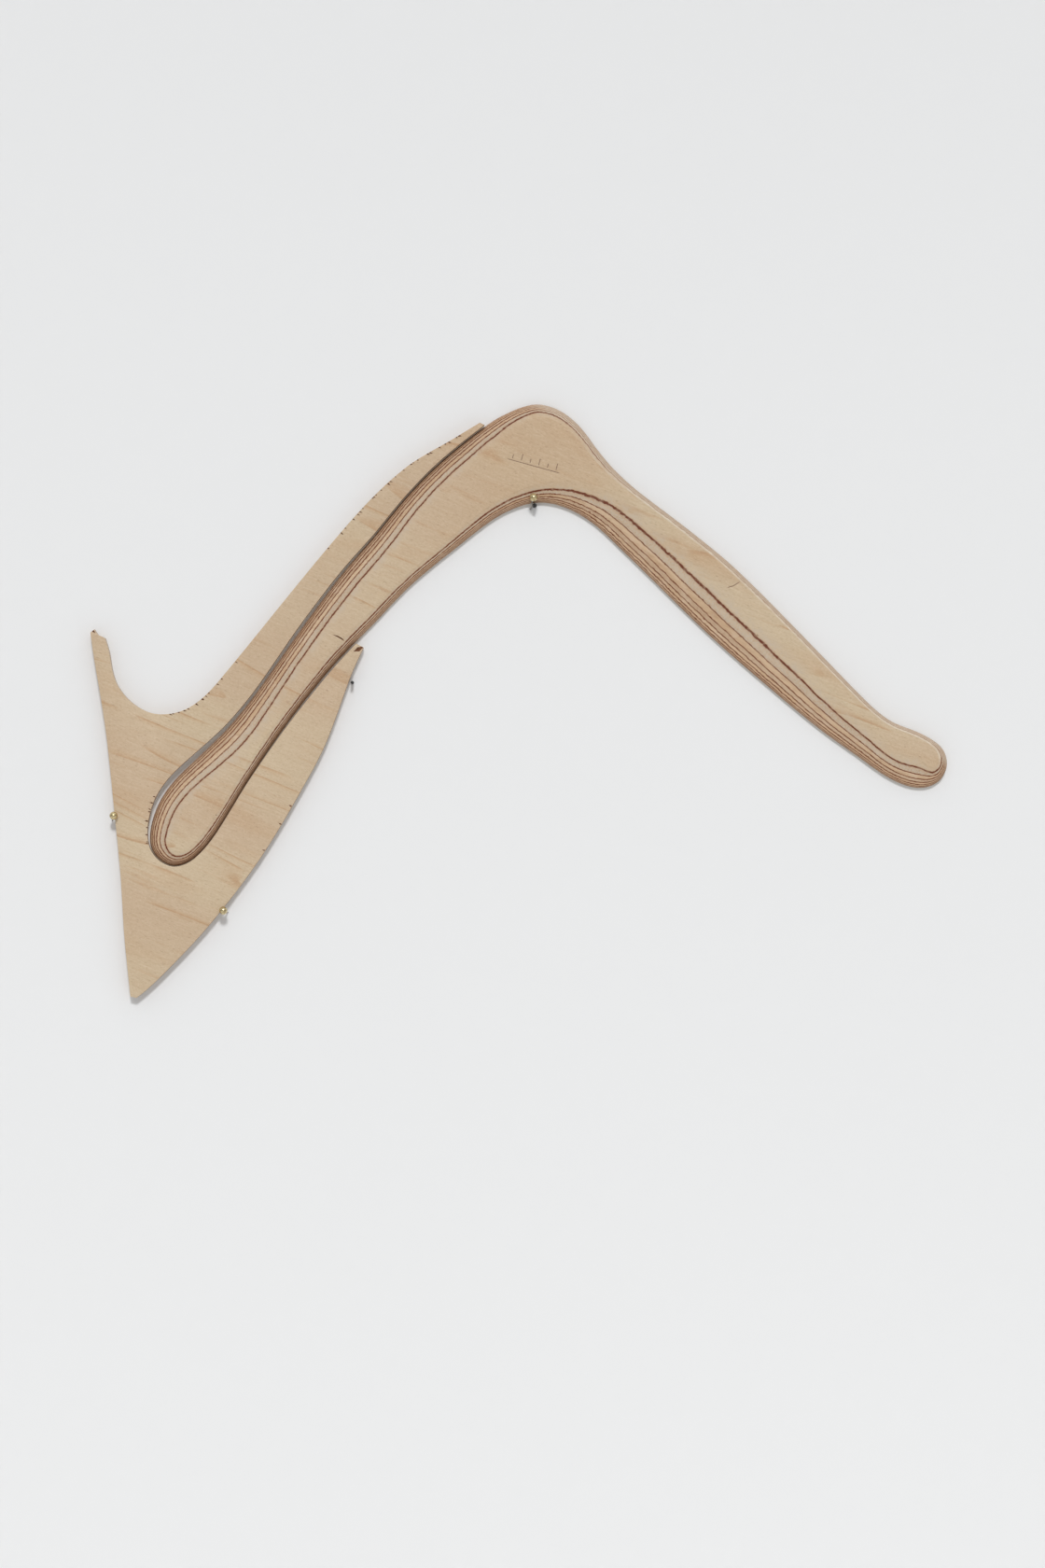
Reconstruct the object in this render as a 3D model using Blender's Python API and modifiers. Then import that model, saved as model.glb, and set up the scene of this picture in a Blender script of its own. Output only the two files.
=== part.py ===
"""Plywood boomerang, nested in the offcut that it was sawn from, hung on wall pins.

Everything stands in one frame: the wall is the plane Y = 0, the fronts face -Y, +X is to
the right and +Z is up. The origin is the axis of the nail that carries the elbow, where it
enters the wall. Outlines are given in millimetres in that wall plane and scaled once.
"""

import math

import bmesh
import bpy
from mathutils import Vector

MM = 0.001

# --- the sheet ---------------------------------------------------------------------------
VENEER_COUNT = 10
VENEER_PITCH = 0.6          # one veneer and its share of glue
GLUE_LINE = 0.05            # the gap that the glue film fills between two veneers
SHEET_THICKNESS = VENEER_COUNT * VENEER_PITCH

# --- the airfoil -------------------------------------------------------------------------
BEVEL_DEPTH = 5.0           # how far back the bevel reaches; the rest of the edge is square
BEVEL_FADE = 0.8            # share of the bevel's width at which it has faded into the face
SAMPLES_PER_SPAN = 2        # outline points for each pair of stations

# --- the pins ----------------------------------------------------------------------------
BALL_RADIUS = 2.2
PIN_RADIUS = 0.4
PIN_IN_WALL = 12.0
PIN_POINT = 2.5             # length of the sharpened end
BORE_CLEARANCE = 0.05       # between the shank and the blind bore in its ball
BORE_DEPTH = 2.0
NAIL_IN_WALL = 14.0
NAIL_CROWN = 0.15           # height of the domed end of a headless nail
TURN_STEPS = 16
ARC_STEPS = 8

# --- the boomerang's outline -------------------------------------------------------------
# Each station is (x, z, bevel width, kerf): a point on the outline, how wide the bevel is
# there, and how far the offcut stands off. The list runs anticlockwise, seen from the front.
# The kerf is read only along the stretch of the left arm that the offcut holds.
CROOK = [
    (3.5, 1.7, 12.0, 1.0),
    (13.5, 0.0, 16.5, 1.0),
    (23.5, -4.4, 21.5, 1.0),
    (33.5, -11.2, 25.0, 1.0),
    (45.0, -22.0, 27.5, 1.0),
]
RIGHT_ARM_TRAILING_EDGE = [
    (63.5, -40.0, 29.0, 1.0),
    (93.5, -69.2, 31.0, 1.0),
    (123.5, -95.5, 28.0, 1.0),
    (153.5, -120.2, 22.5, 1.0),
    (173.5, -134.5, 19.0, 1.0),
]
RIGHT_TIP = [
    (188.5, -145.0, 17.5, 1.0),
    (201.0, -150.4, 22.0, 1.0),
    (210.0, -150.7, 18.5, 1.0),
    (217.0, -147.0, 10.0, 1.0),
    (220.8, -139.0, 6.5, 1.0),
    (219.0, -131.0, 4.5, 1.0),
    (213.5, -125.7, 3.6, 1.0),
]
RIGHT_ARM_LEADING_EDGE = [
    (203.5, -120.5, 3.4, 1.0),
    (192.5, -116.2, 3.2, 1.0),
    (183.5, -110.0, 3.2, 1.0),
    (163.5, -90.2, 3.4, 1.0),
    (133.5, -59.3, 3.8, 1.0),
    (103.5, -30.0, 4.0, 1.0),
    (73.5, -6.0, 3.8, 1.0),
    (53.5, 9.3, 3.8, 1.0),
]
ELBOW_CROWN = [
    (40.8, 21.3, 5.4, 1.0),
    (32.5, 31.5, 5.7, 1.0),
    (24.5, 42.0, 6.6, 1.0),
    (14.0, 50.6, 7.4, 1.0),
    (1.0, 54.3, 8.6, 1.0),
    (-14.0, 49.8, 11.4, 1.0),
]
LEFT_ARM_TRAILING_EDGE = [
    (-26.5, 42.5, 14.4, 0.5),
    (-54.0, 20.0, 16.5, 0.5),
    (-71.5, 1.5, 17.2, 0.5),
    (-85.5, -15.8, 18.2, 0.6),
    (-102.2, -35.4, 18.6, 1.1),
    (-126.3, -67.8, 17.2, 1.5),
    (-149.5, -100.8, 18.8, 1.3),
    (-165.0, -119.8, 22.6, 1.8),
    (-180.8, -135.2, 20.0, 2.6),
]
LEFT_TIP = [
    (-192.5, -146.6, 19.0, 2.9),
    (-200.4, -157.6, 18.6, 2.7),
    (-205.4, -171.4, 17.4, 1.5),
    (-205.6, -182.0, 15.4, 0.6),
    (-201.3, -189.0, 13.0, 0.4),
    (-193.5, -192.8, 10.0, 0.4),
    (-184.5, -190.2, 7.4, 0.4),
    (-173.2, -178.8, 6.4, 0.4),
]
LEFT_ARM_LEADING_EDGE = [
    (-155.5, -150.6, 6.2, 0.4),
    (-132.4, -116.5, 6.0, 0.9),
    (-106.0, -83.5, 6.7, 1.2),
    (-86.5, -63.6, 6.9, 0.8),
    (-66.5, -42.8, 6.2, 1.0),
    (-41.5, -22.2, 7.4, 1.0),
    (-20.0, -6.0, 8.4, 1.0),
    (-6.5, 0.1, 9.6, 1.0),
]
BOOMERANG_STATIONS = (
    CROOK
    + RIGHT_ARM_TRAILING_EDGE
    + RIGHT_TIP
    + RIGHT_ARM_LEADING_EDGE
    + ELBOW_CROWN
    + LEFT_ARM_TRAILING_EDGE
    + LEFT_TIP
    + LEFT_ARM_LEADING_EDGE
)
KERF_START = (-26.5, 42.5)      # on the boomerang's outline, at the upper prong's tip
KERF_END = (-94.0, -71.2)       # on the boomerang's outline, at the lower prong's tip

# --- the offcut's outer edges --------------------------------------------------------------
# Each run is smooth, and the runs meet at corners. With the kerf they close the outline.
OFFCUT_LOWER_PRONG_EDGE = [
    (-91.5, -76.0),
    (-97.5, -89.0),
    (-104.8, -109.0),
    (-112.5, -129.0),
    (-123.0, -149.0),
    (-147.0, -189.0),
    (-178.0, -229.0),
    (-207.5, -259.0),
    (-213.0, -263.4),
]
OFFCUT_LEFT_EDGE = [
    (-216.2, -262.6),
    (-219.6, -229.0),
    (-221.4, -199.0),
    (-224.8, -164.0),
    (-229.6, -119.0),
    (-236.1, -79.0),
    (-237.6, -68.0),
]
OFFCUT_NOTCH = [
    (-235.4, -66.3),
    (-233.4, -69.3),
    (-229.6, -71.2),
    (-226.0, -87.5),
    (-223.4, -95.6),
    (-216.5, -104.5),
    (-206.5, -110.6),
    (-196.5, -111.6),
    (-186.5, -109.0),
    (-176.5, -102.0),
    (-166.5, -91.0),
    (-136.5, -54.2),
    (-106.5, -17.8),
    (-86.5, 4.4),
    (-66.5, 22.0),
    (-46.5, 33.8),
    (-29.3, 44.2),
]

# --- where the pins stand --------------------------------------------------------------------
# Each ball pin is (name, where it enters the wall, where its ball's centre is).
BALL_PINS = [
    ("elbow_pin", (-2.0, 0.0, -0.9), (-0.6, -9.5, 4.0)),
    ("left_pin", (-226.2, 0.0, -168.2), (-224.9, -9.2, -165.9)),
    ("lower_pin", (-164.7, 0.0, -217.7), (-166.3, -9.2, -216.6)),
]
# Each nail is (name, x, z, radius, how far it stands out of the wall).
NAILS = [
    ("elbow_nail", 0.0, 0.0, 1.05, 7.0),
    ("right_nail", -97.6, -94.7, 0.8, 7.5),
]

# --- colours -----------------------------------------------------------------------------------
BIRCH_FACE = (0.55, 0.42, 0.28)
BIRCH_LONG_GRAIN = (0.56, 0.40, 0.26)
BIRCH_CROSS_GRAIN = (0.47, 0.32, 0.20)
BRASS = (0.72, 0.58, 0.30)
STEEL = (0.42, 0.41, 0.40)
BLACK_STEEL = (0.03, 0.03, 0.032)


def clear_scene():
    for scene_object in list(bpy.data.objects):
        bpy.data.objects.remove(scene_object, do_unlink=True)


def new_collection(name):
    collection = bpy.data.collections.new(name)
    bpy.context.scene.collection.children.link(collection)
    return collection


def principled(name, colour, roughness, metallic=0.0):
    material = bpy.data.materials.new(name)
    material.use_nodes = True
    shader = material.node_tree.nodes["Principled BSDF"]
    shader.inputs["Base Color"].default_value = (*colour, 1.0)
    shader.inputs["Roughness"].default_value = roughness
    shader.inputs["Metallic"].default_value = metallic
    return material


# --- smooth outlines ---------------------------------------------------------------------------

def knot_gap(a, b):
    """Centripetal spacing, which keeps a curve free of loops where its points are uneven."""
    return math.sqrt(math.hypot(b[0] - a[0], b[1] - a[1]))


def blend(a, b, knot_a, knot_b, knot):
    share = (knot - knot_a) / (knot_b - knot_a)
    return tuple(u + (v - u) * share for u, v in zip(a, b))


def spline_point(a, b, c, d, share):
    """A point between b and c on the Catmull-Rom curve through all four."""
    knot_a = 0.0
    knot_b = knot_a + knot_gap(a, b)
    knot_c = knot_b + knot_gap(b, c)
    knot_d = knot_c + knot_gap(c, d)
    knot = knot_b + (knot_c - knot_b) * share
    ab = blend(a, b, knot_a, knot_b, knot)
    bc = blend(b, c, knot_b, knot_c, knot)
    cd = blend(c, d, knot_c, knot_d, knot)
    abc = blend(ab, bc, knot_a, knot_c, knot)
    bcd = blend(bc, cd, knot_b, knot_d, knot)
    return blend(abc, bcd, knot_b, knot_c, knot)


def closed_curve(stations, samples):
    count = len(stations)
    points = []
    for index in range(count):
        a, b, c, d = (stations[(index + step) % count] for step in (-1, 0, 1, 2))
        for sample in range(samples):
            points.append(spline_point(a, b, c, d, sample / samples))
    return points


def open_curve(stations, samples):
    """A smooth run from the first station to the last; its ends are mirrored outwards."""
    before = tuple(2 * u - v for u, v in zip(stations[0], stations[1]))
    after = tuple(2 * u - v for u, v in zip(stations[-1], stations[-2]))
    padded = [before] + stations + [after]
    points = []
    for index in range(1, len(padded) - 2):
        for sample in range(samples):
            points.append(spline_point(*padded[index - 1:index + 3], sample / samples))
    points.append(stations[-1])
    return points


def inward_normals(points):
    """Unit normals of an anticlockwise outline, pointing to its inside."""
    count = len(points)
    normals = []
    for index in range(count):
        before = points[index - 1]
        after = points[(index + 1) % count]
        along_x = after[0] - before[0]
        along_z = after[1] - before[1]
        length = math.hypot(along_x, along_z)
        normals.append((-along_z / length, along_x / length))
    return normals


# --- veneers -------------------------------------------------------------------------------------

def bevel_reach(depth):
    """How far the bevel has come in at this depth below the face, as a share of its width.

    The section is a quarter of an ellipse: steep at the square edge, flat at the face.
    """
    if depth >= BEVEL_DEPTH:
        return 0.0
    run = 1.0 - depth / BEVEL_DEPTH
    return min(BEVEL_FADE, 1.0 - math.sqrt(1.0 - run * run))


def boomerang_ring(outline, normals, depth):
    reach = bevel_reach(depth)
    ring = []
    for (x, z, bevel, _), (normal_x, normal_z) in zip(outline, normals):
        ring.append((x + normal_x * bevel * reach, z + normal_z * bevel * reach))
    return ring


def loft(name, back_ring, back_y, front_ring, front_y):
    """A closed slab between two rings of the same count, one at each Y."""
    mesh = bpy.data.meshes.new(name)
    slab = bmesh.new()
    back = [slab.verts.new((x * MM, back_y * MM, z * MM)) for x, z in back_ring]
    front = [slab.verts.new((x * MM, front_y * MM, z * MM)) for x, z in front_ring]
    count = len(back)
    for index in range(count):
        after = (index + 1) % count
        slab.faces.new((back[index], back[after], front[after], front[index]))
    slab.faces.new(list(reversed(back)))
    slab.faces.new(front)
    bmesh.ops.recalc_face_normals(slab, faces=slab.faces)
    slab.to_mesh(mesh)
    slab.free()
    return bpy.data.objects.new(name, mesh)


def veneer_names(piece):
    """From the back veneer to the face veneer."""
    cores = [f"{piece}_core_veneer_{number}" for number in range(2, VENEER_COUNT)]
    return [f"{piece}_back_veneer"] + cores + [f"{piece}_face_veneer"]


def veneer_faces(number):
    """The depths below the face of a veneer's back and front, counting from the back."""
    back = (VENEER_COUNT - number) * VENEER_PITCH
    front = back - VENEER_PITCH
    if number > 0:
        back -= GLUE_LINE / 2
    if number < VENEER_COUNT - 1:
        front += GLUE_LINE / 2
    return back, front


def veneer_material(name, number):
    """The layup is the same counted from either face, so the two middle veneers run the same way."""
    layers_in = min(number, VENEER_COUNT - 1 - number)
    if layers_in == 0:
        return principled(name, BIRCH_FACE, 0.55)
    if layers_in % 2:
        return principled(name, BIRCH_CROSS_GRAIN, 0.65)
    return principled(name, BIRCH_LONG_GRAIN, 0.6)


def laminate(piece, ring_at, collection, parent):
    """All the veneers of one sheet; ring_at gives the outline at a depth below the face."""
    for number, name in enumerate(veneer_names(piece)):
        back, front = veneer_faces(number)
        veneer = loft(
            name,
            ring_at(back), back - SHEET_THICKNESS,
            ring_at(front), front - SHEET_THICKNESS,
        )
        veneer.data.materials.append(veneer_material(name, number))
        veneer.parent = parent
        collection.objects.link(veneer)


def nearest_index(points, target):
    distances = [math.hypot(point[0] - target[0], point[1] - target[1]) for point in points]
    return distances.index(min(distances))


def kerf_wall(outline, normals):
    """The offcut's side of the saw cut, from the upper prong's tip to the lower one's."""
    first = nearest_index(outline, KERF_START)
    last = nearest_index(outline, KERF_END)
    wall = []
    for index in range(first, last + 1):
        x, z, _, kerf = outline[index]
        normal_x, normal_z = normals[index]
        wall.append((x - normal_x * kerf, z - normal_z * kerf))
    return wall


def offcut_outline(outline, normals):
    edges = []
    for run in (OFFCUT_LOWER_PRONG_EDGE, OFFCUT_LEFT_EDGE, OFFCUT_NOTCH):
        edges += open_curve(run, SAMPLES_PER_SPAN)
    return kerf_wall(outline, normals) + edges


# --- pins and nails ------------------------------------------------------------------------------

def turned(name, profile):
    """A solid turned about +Z from (radius, height) points, top to bottom."""
    mesh = bpy.data.meshes.new(name)
    vertices = [(radius * MM, 0.0, height * MM) for radius, height in profile]
    edges = [(index, index + 1) for index in range(len(profile) - 1)]
    mesh.from_pydata(vertices, edges, [])
    solid = bpy.data.objects.new(name, mesh)
    screw = solid.modifiers.new("turn", "SCREW")
    screw.axis = "Z"
    screw.steps = TURN_STEPS
    screw.render_steps = TURN_STEPS
    screw.use_merge_vertices = True
    screw.merge_threshold = 0.00001
    screw.use_smooth_shade = True
    return solid


def stand_on_axis(solid, foot, head):
    """Turns a solid so that its +Z runs from foot to head, with its origin at the foot."""
    direction = Vector(head) - Vector(foot)
    solid.rotation_mode = "QUATERNION"
    solid.rotation_quaternion = direction.to_track_quat("Z", "Y")
    solid.location = Vector(foot) * MM


def ball_profile(centre_height):
    """A ball with a blind bore from below, for the shank."""
    bore = PIN_RADIUS + BORE_CLEARANCE
    mouth_angle = math.pi - math.asin(bore / BALL_RADIUS)
    profile = []
    for step in range(ARC_STEPS + 1):
        angle = mouth_angle * step / ARC_STEPS
        radius = BALL_RADIUS * math.sin(angle)
        profile.append((radius, centre_height + BALL_RADIUS * math.cos(angle)))
    bore_end = centre_height - BALL_RADIUS + BORE_DEPTH
    return profile + [(bore, bore_end), (0.0, bore_end)]


def shank_profile(top):
    shoulder = PIN_POINT - PIN_IN_WALL
    return [(0.0, top), (PIN_RADIUS, top), (PIN_RADIUS, shoulder), (0.0, -PIN_IN_WALL)]


def nail_profile(radius, reach):
    shoulder = PIN_POINT - NAIL_IN_WALL
    return [
        (0.0, reach),
        (0.7 * radius, reach - 0.3 * NAIL_CROWN),
        (radius, reach - NAIL_CROWN),
        (radius, shoulder),
        (0.0, -NAIL_IN_WALL),
    ]


def make_ball_pin(name, foot, ball_centre, collection, parent):
    reach = (Vector(ball_centre) - Vector(foot)).length
    ball = turned(f"{name}_ball", ball_profile(reach))
    ball.data.materials.append(principled(f"{name}_ball", BRASS, 0.25, 1.0))
    shank_top = reach - BALL_RADIUS + BORE_DEPTH - BORE_CLEARANCE
    shank = turned(f"{name}_shank", shank_profile(shank_top))
    shank.data.materials.append(principled(f"{name}_shank", STEEL, 0.35, 1.0))
    for solid in (ball, shank):
        stand_on_axis(solid, foot, ball_centre)
        solid.parent = parent
        collection.objects.link(solid)


def make_nail(name, x, z, radius, reach, collection, parent):
    nail = turned(name, nail_profile(radius, reach))
    nail.data.materials.append(principled(name, BLACK_STEEL, 0.5, 0.6))
    stand_on_axis(nail, (x, 0.0, z), (x, -reach, z))
    nail.parent = parent
    collection.objects.link(nail)


def body_empty(name, collection):
    """Each body's pieces hang from an empty at the origin, which its slide moves."""
    empty = bpy.data.objects.new(name, None)
    empty.empty_display_size = 20 * MM
    collection.objects.link(empty)
    return empty


def main():
    clear_scene()
    collection = new_collection("boomerang")
    pins_body = body_empty("pins_body", collection)
    offcut_body = body_empty("offcut_body", collection)
    boomerang_body = body_empty("boomerang_body", collection)
    offcut_body.parent = pins_body
    boomerang_body.parent = offcut_body

    outline = closed_curve(BOOMERANG_STATIONS, SAMPLES_PER_SPAN)
    normals = inward_normals(outline)
    laminate("boomerang", lambda depth: boomerang_ring(outline, normals, depth),
             collection, boomerang_body)

    offcut_ring = offcut_outline(outline, normals)
    laminate("offcut", lambda depth: offcut_ring, collection, offcut_body)

    for name, foot, ball_centre in BALL_PINS:
        make_ball_pin(name, foot, ball_centre, collection, pins_body)
    for name, x, z, radius, reach in NAILS:
        make_nail(name, x, z, radius, reach, collection, pins_body)


main()
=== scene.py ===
import math
import random

import bmesh
import bpy
from mathutils import Matrix, Vector, noise


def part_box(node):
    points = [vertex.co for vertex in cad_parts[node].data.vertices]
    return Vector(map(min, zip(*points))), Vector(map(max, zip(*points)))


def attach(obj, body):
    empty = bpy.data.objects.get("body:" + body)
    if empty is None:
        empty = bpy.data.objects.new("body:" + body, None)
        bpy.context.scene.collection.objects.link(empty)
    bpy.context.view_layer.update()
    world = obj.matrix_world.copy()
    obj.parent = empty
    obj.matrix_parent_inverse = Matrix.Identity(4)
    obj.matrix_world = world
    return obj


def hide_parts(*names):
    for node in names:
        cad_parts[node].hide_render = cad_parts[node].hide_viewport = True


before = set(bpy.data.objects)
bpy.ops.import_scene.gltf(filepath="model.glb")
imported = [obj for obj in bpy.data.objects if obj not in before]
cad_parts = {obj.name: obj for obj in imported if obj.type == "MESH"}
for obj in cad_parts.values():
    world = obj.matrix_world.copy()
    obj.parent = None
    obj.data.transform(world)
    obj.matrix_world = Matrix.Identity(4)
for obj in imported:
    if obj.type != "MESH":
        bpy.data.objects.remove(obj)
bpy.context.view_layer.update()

# A plywood boomerang nested in the offcut it was sawn from, hung on pins in front of a wall.
# +X is right, +Z is up, the wall is at Y = 0 and the sheet's face looks along -Y.

MM = 0.001

# --- driving sizes, read from the frame --------------------------------------------------------

VENEERS = ["back_veneer"] + [f"core_veneer_{number}" for number in range(2, 10)] + ["face_veneer"]
FACE_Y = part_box("boomerang_face_veneer")[0].y
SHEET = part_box("boomerang_back_veneer")[1].y - FACE_Y
PITCH = SHEET / len(VENEERS)
FILM = 0.01 * MM  # the gap left between two veneers
FLAT = 0.01 * MM  # how far a point of a flat face may lie off its plane
BEVEL_DEPTH = 5.0 * MM
RUN_OUT_DEPTH = 0.1 * MM  # where the bevel starts to level out to the face
RUN_OUT_SHARE = 0.05  # and how much of its width that takes
ARRIS = 0.22 * MM  # how far the offcut's front edge is rounded over
SECTION_STEP = math.radians(5.0)
SPAN_STEPS = 3
CORNER = math.radians(28.0)
WIDTH_PASSES = 14  # how often the bevel's width is evened out along the outline
RIM_BLEND = 0.5 * MM  # the rasp's unevenness fades out this far in front of the bevel's rim
TOP_BLEND = 0.3 * MM  # and this far below the face
WALL_GAP = 1.4 * MM  # the stage's wall stands this far behind the backs, for soft contact shadows


# --- outlines from the frame ------------------------------------------------------------------

def cap_ring(node, front):
    """The outline of a veneer's front or back, anticlockwise as seen from the front."""
    low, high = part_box(node)
    level = low.y if front else high.y
    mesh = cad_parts[node].data
    edges = set()
    for face in mesh.polygons:
        corners = [mesh.vertices[index].co for index in face.vertices]
        if max(abs(corner.y - level) for corner in corners) > FLAT:
            continue
        keys = [(corner.x, corner.z) for corner in corners]
        edges.update(zip(keys, keys[1:] + keys[:1]))
    following = {a: b for a, b in edges if (b, a) not in edges}
    first = min(following)
    ring = [first]
    while following[ring[-1]] != first:
        ring.append(following[ring[-1]])
    if not front:
        ring.reverse()
    return [Vector(point) for point in ring]


def matched(ring, reference):
    """The ring, started where it lies closest to the reference point for point."""
    def misfit(shift):
        turned = ring[shift:] + ring[:shift]
        return sum((a - b).length_squared for a, b in zip(turned, reference))
    best = min(range(len(ring)), key=misfit)
    return ring[best:] + ring[:best]


def bevel_reach(depth):
    """How far the bevel has come in at this depth, as a share of its width.

    The section is a quarter of an ellipse, with a short parabola where it runs out on the face.
    """
    run = 1.0 - min(1.0, max(depth, RUN_OUT_DEPTH) / BEVEL_DEPTH)
    reach = 1.0 - math.sqrt(1.0 - run * run)
    if depth < RUN_OUT_DEPTH:
        reach += RUN_OUT_SHARE * (1.0 - math.sqrt(depth / RUN_OUT_DEPTH))
    return reach


def turn_at(a, b, c):
    """How sharply the outline turns at b, in radians."""
    return (b - a).angle(c - b, 0.0)


def slope_at(a, b, c, toward):
    """The curve's direction at b; at a corner it points straight at its neighbour."""
    if turn_at(a, b, c) > CORNER:
        return toward
    before, after = (b - a).length, (c - b).length
    return ((b - a) * (after / before) + (c - b) * (before / after)) / (before + after)


def smooth_ring(ring):
    """The closed ring with more points, on a smooth curve that keeps its corners."""
    count = len(ring)
    points = []
    for index in range(count):
        a, b, c, d = (ring[(index + step) % count] for step in (-1, 0, 1, 2))
        span = (c - b).length
        straight = (c - b) / span
        leave = slope_at(a, b, c, straight) * span
        arrive = slope_at(b, c, d, straight) * span
        for step in range(SPAN_STEPS):
            t = step / SPAN_STEPS
            points.append(
                b * (2 * t**3 - 3 * t**2 + 1)
                + leave * (t**3 - 2 * t**2 + t)
                + c * (3 * t**2 - 2 * t**3)
                + arrive * (t**3 - t**2)
            )
    return points


def inward_normals(ring):
    """Unit normals that point to the inside of an anticlockwise ring."""
    count = len(ring)
    normals = []
    for index in range(count):
        along = ring[(index + 1) % count] - ring[index - 1]
        normals.append(Vector((-along.y, along.x)).normalized())
    return normals


def hand_wander(point, depth):
    """How unevenly the rasp cut here, as a change of depth: long waves and short ones."""
    slow = noise.noise(Vector((point.x / 0.034, point.y / 0.034, depth / 0.004)))
    quick = noise.noise(Vector((point.x / 0.009, point.y / 0.009, 7.0)))
    return (0.07 * slow + 0.03 * quick) * MM


def evened(values):
    """The same values, evened out a little along a closed outline."""
    for _ in range(WIDTH_PASSES):
        before = values[-1:] + values[:-1]
        after = values[1:] + values[:1]
        values = [(a + b * 2 + c) / 4 for a, b, c in zip(before, values, after)]
    return values


def boomerang_rings():
    """A function that gives the boomerang's outline at a depth below its face."""
    rim = cap_ring("boomerang_back_veneer", front=False)
    shoulder = matched(cap_ring("boomerang_face_veneer", front=False), rim)
    shoulder_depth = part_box("boomerang_face_veneer")[1].y - FACE_Y
    outer = smooth_ring(rim)
    inner = smooth_ring(shoulder)
    widths = [(b - a) / bevel_reach(shoulder_depth) for a, b in zip(outer, inner)]
    lengths = evened([width.length for width in widths])
    widths = [width.normalized() * length for width, length in zip(evened(widths), lengths)]

    def ring_at(depth):
        ring = []
        for point, width in zip(outer, widths):
            fade = max(0.0, min(1.0, depth / TOP_BLEND, (BEVEL_DEPTH - depth) / RIM_BLEND))
            cut = depth + hand_wander(point, depth) * fade
            ring.append(point + width * bevel_reach(max(0.0, cut)))
        return ring
    return ring_at


def offcut_rings():
    """The same for the offcut, whose edges are square with a rounded arris in front."""
    outer = smooth_ring(cap_ring("offcut_back_veneer", front=False))
    normals = inward_normals(outer)

    def ring_at(depth):
        sunk = max(0.0, ARRIS - depth)
        inset = ARRIS - math.sqrt(ARRIS * ARRIS - sunk * sunk)
        return [point + normal * inset for point, normal in zip(outer, normals)]
    return ring_at


# --- veneers ----------------------------------------------------------------------------------

def bevel_levels(back, front):
    """Depths from back to front, a few degrees of the bevel's ellipse apart."""
    start = math.asin(1.0 - min(back, BEVEL_DEPTH) / BEVEL_DEPTH)
    end = math.asin(1.0 - min(max(front, RUN_OUT_DEPTH), BEVEL_DEPTH) / BEVEL_DEPTH)
    steps = max(1, math.ceil((end - start) / SECTION_STEP))
    levels = [BEVEL_DEPTH * (1.0 - math.sin(start + (end - start) * n / steps)) for n in range(1, steps)]
    if front < RUN_OUT_DEPTH:
        # closer together towards the face, as the parabola flattens
        levels += [RUN_OUT_DEPTH * share for share in (1.0, 0.56, 0.25, 0.06)]
    return [back] + levels + [front]


def arris_levels(back, front):
    """Depths from back to front; only the face veneer has the arris."""
    levels = [back]
    if front < ARRIS:
        levels += [ARRIS, 0.45 * ARRIS, 0.12 * ARRIS]
    return levels + [front]


def veneer_mesh(name, ring_at, levels):
    """A closed slab lofted through the rings at these depths, from back to front."""
    slab = bmesh.new()
    rings = []
    for depth in levels:
        y = FACE_Y + depth
        rings.append([slab.verts.new((point.x, y, point.y)) for point in ring_at(depth)])
    for back, front in zip(rings, rings[1:]):
        for index in range(len(back)):
            after = (index + 1) % len(back)
            side = slab.faces.new((back[index], back[after], front[after], front[index]))
            side.smooth = True
    slab.faces.new(list(reversed(rings[0])))
    slab.faces.new(rings[-1])
    bmesh.ops.recalc_face_normals(slab, faces=slab.faces)
    mesh = bpy.data.meshes.new(name)
    slab.to_mesh(mesh)
    slab.free()
    mesh.set_sharp_from_angle(angle=CORNER)
    return mesh


def add_piece(name, mesh, material, body, slot, *nodes):
    """A finished piece in the scene that stands for CAD nodes and moves with their body."""
    piece = bpy.data.objects.new(name, mesh)
    bpy.context.scene.collection.objects.link(piece)
    mesh.materials.append(material)
    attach(piece, body)
    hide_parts(*nodes)
    return piece


def veneer_slot(number):
    """Counted from either face the layup is face, cross, long, cross, long."""
    layers_in = min(number, len(VENEERS) - 1 - number)
    if layers_in == 0:
        return "birch_face"
    return "birch_cross_grain" if layers_in % 2 else "birch_long_grain"


def add_veneers(piece, ring_at, levels_between, materials):
    """All veneers of the boomerang or the offcut, back first; gives back the face veneer."""
    for number, veneer in enumerate(VENEERS):
        back = SHEET - number * PITCH
        front = back - PITCH
        if number > 0:
            back -= FILM / 2
        if number < len(VENEERS) - 1:
            front += FILM / 2
        node = f"{piece}_{veneer}"
        slot = veneer_slot(number)
        mesh = veneer_mesh(f"{node}_fine", ring_at, levels_between(back, max(0.0, front)))
        made = add_piece(f"{node}_fine", mesh, materials[slot], piece, slot, node)
    return made


# --- marks cut into the face ----------------------------------------------------------------

GRAIN_FALL = 22.0  # degrees the face's grain falls to the right
TEAR_WIDTHS = (0.6, 1.1)  # of a small tear, in millimetres
TEAR_DEPTH = 0.45
TEAR_SWING = 12.0  # degrees a small tear strays from the grain
TEAR_OUTSIDE = 0.4  # the share of a tear's first segment that starts outside the edge
PENCIL_WIDTH = 0.55
PENCIL_DEPTH = 0.05


def along_grain(x, z, length, swing=0.0):
    """A short stroke from (x, z) in millimetres, running to the right along the grain."""
    angle = math.radians(-GRAIN_FALL + swing)
    across = math.cos(angle)
    up = math.sin(angle)
    return [(x + length * share * across, z + length * share * up) for share in (0.0, 0.4, 1.0)]


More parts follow.
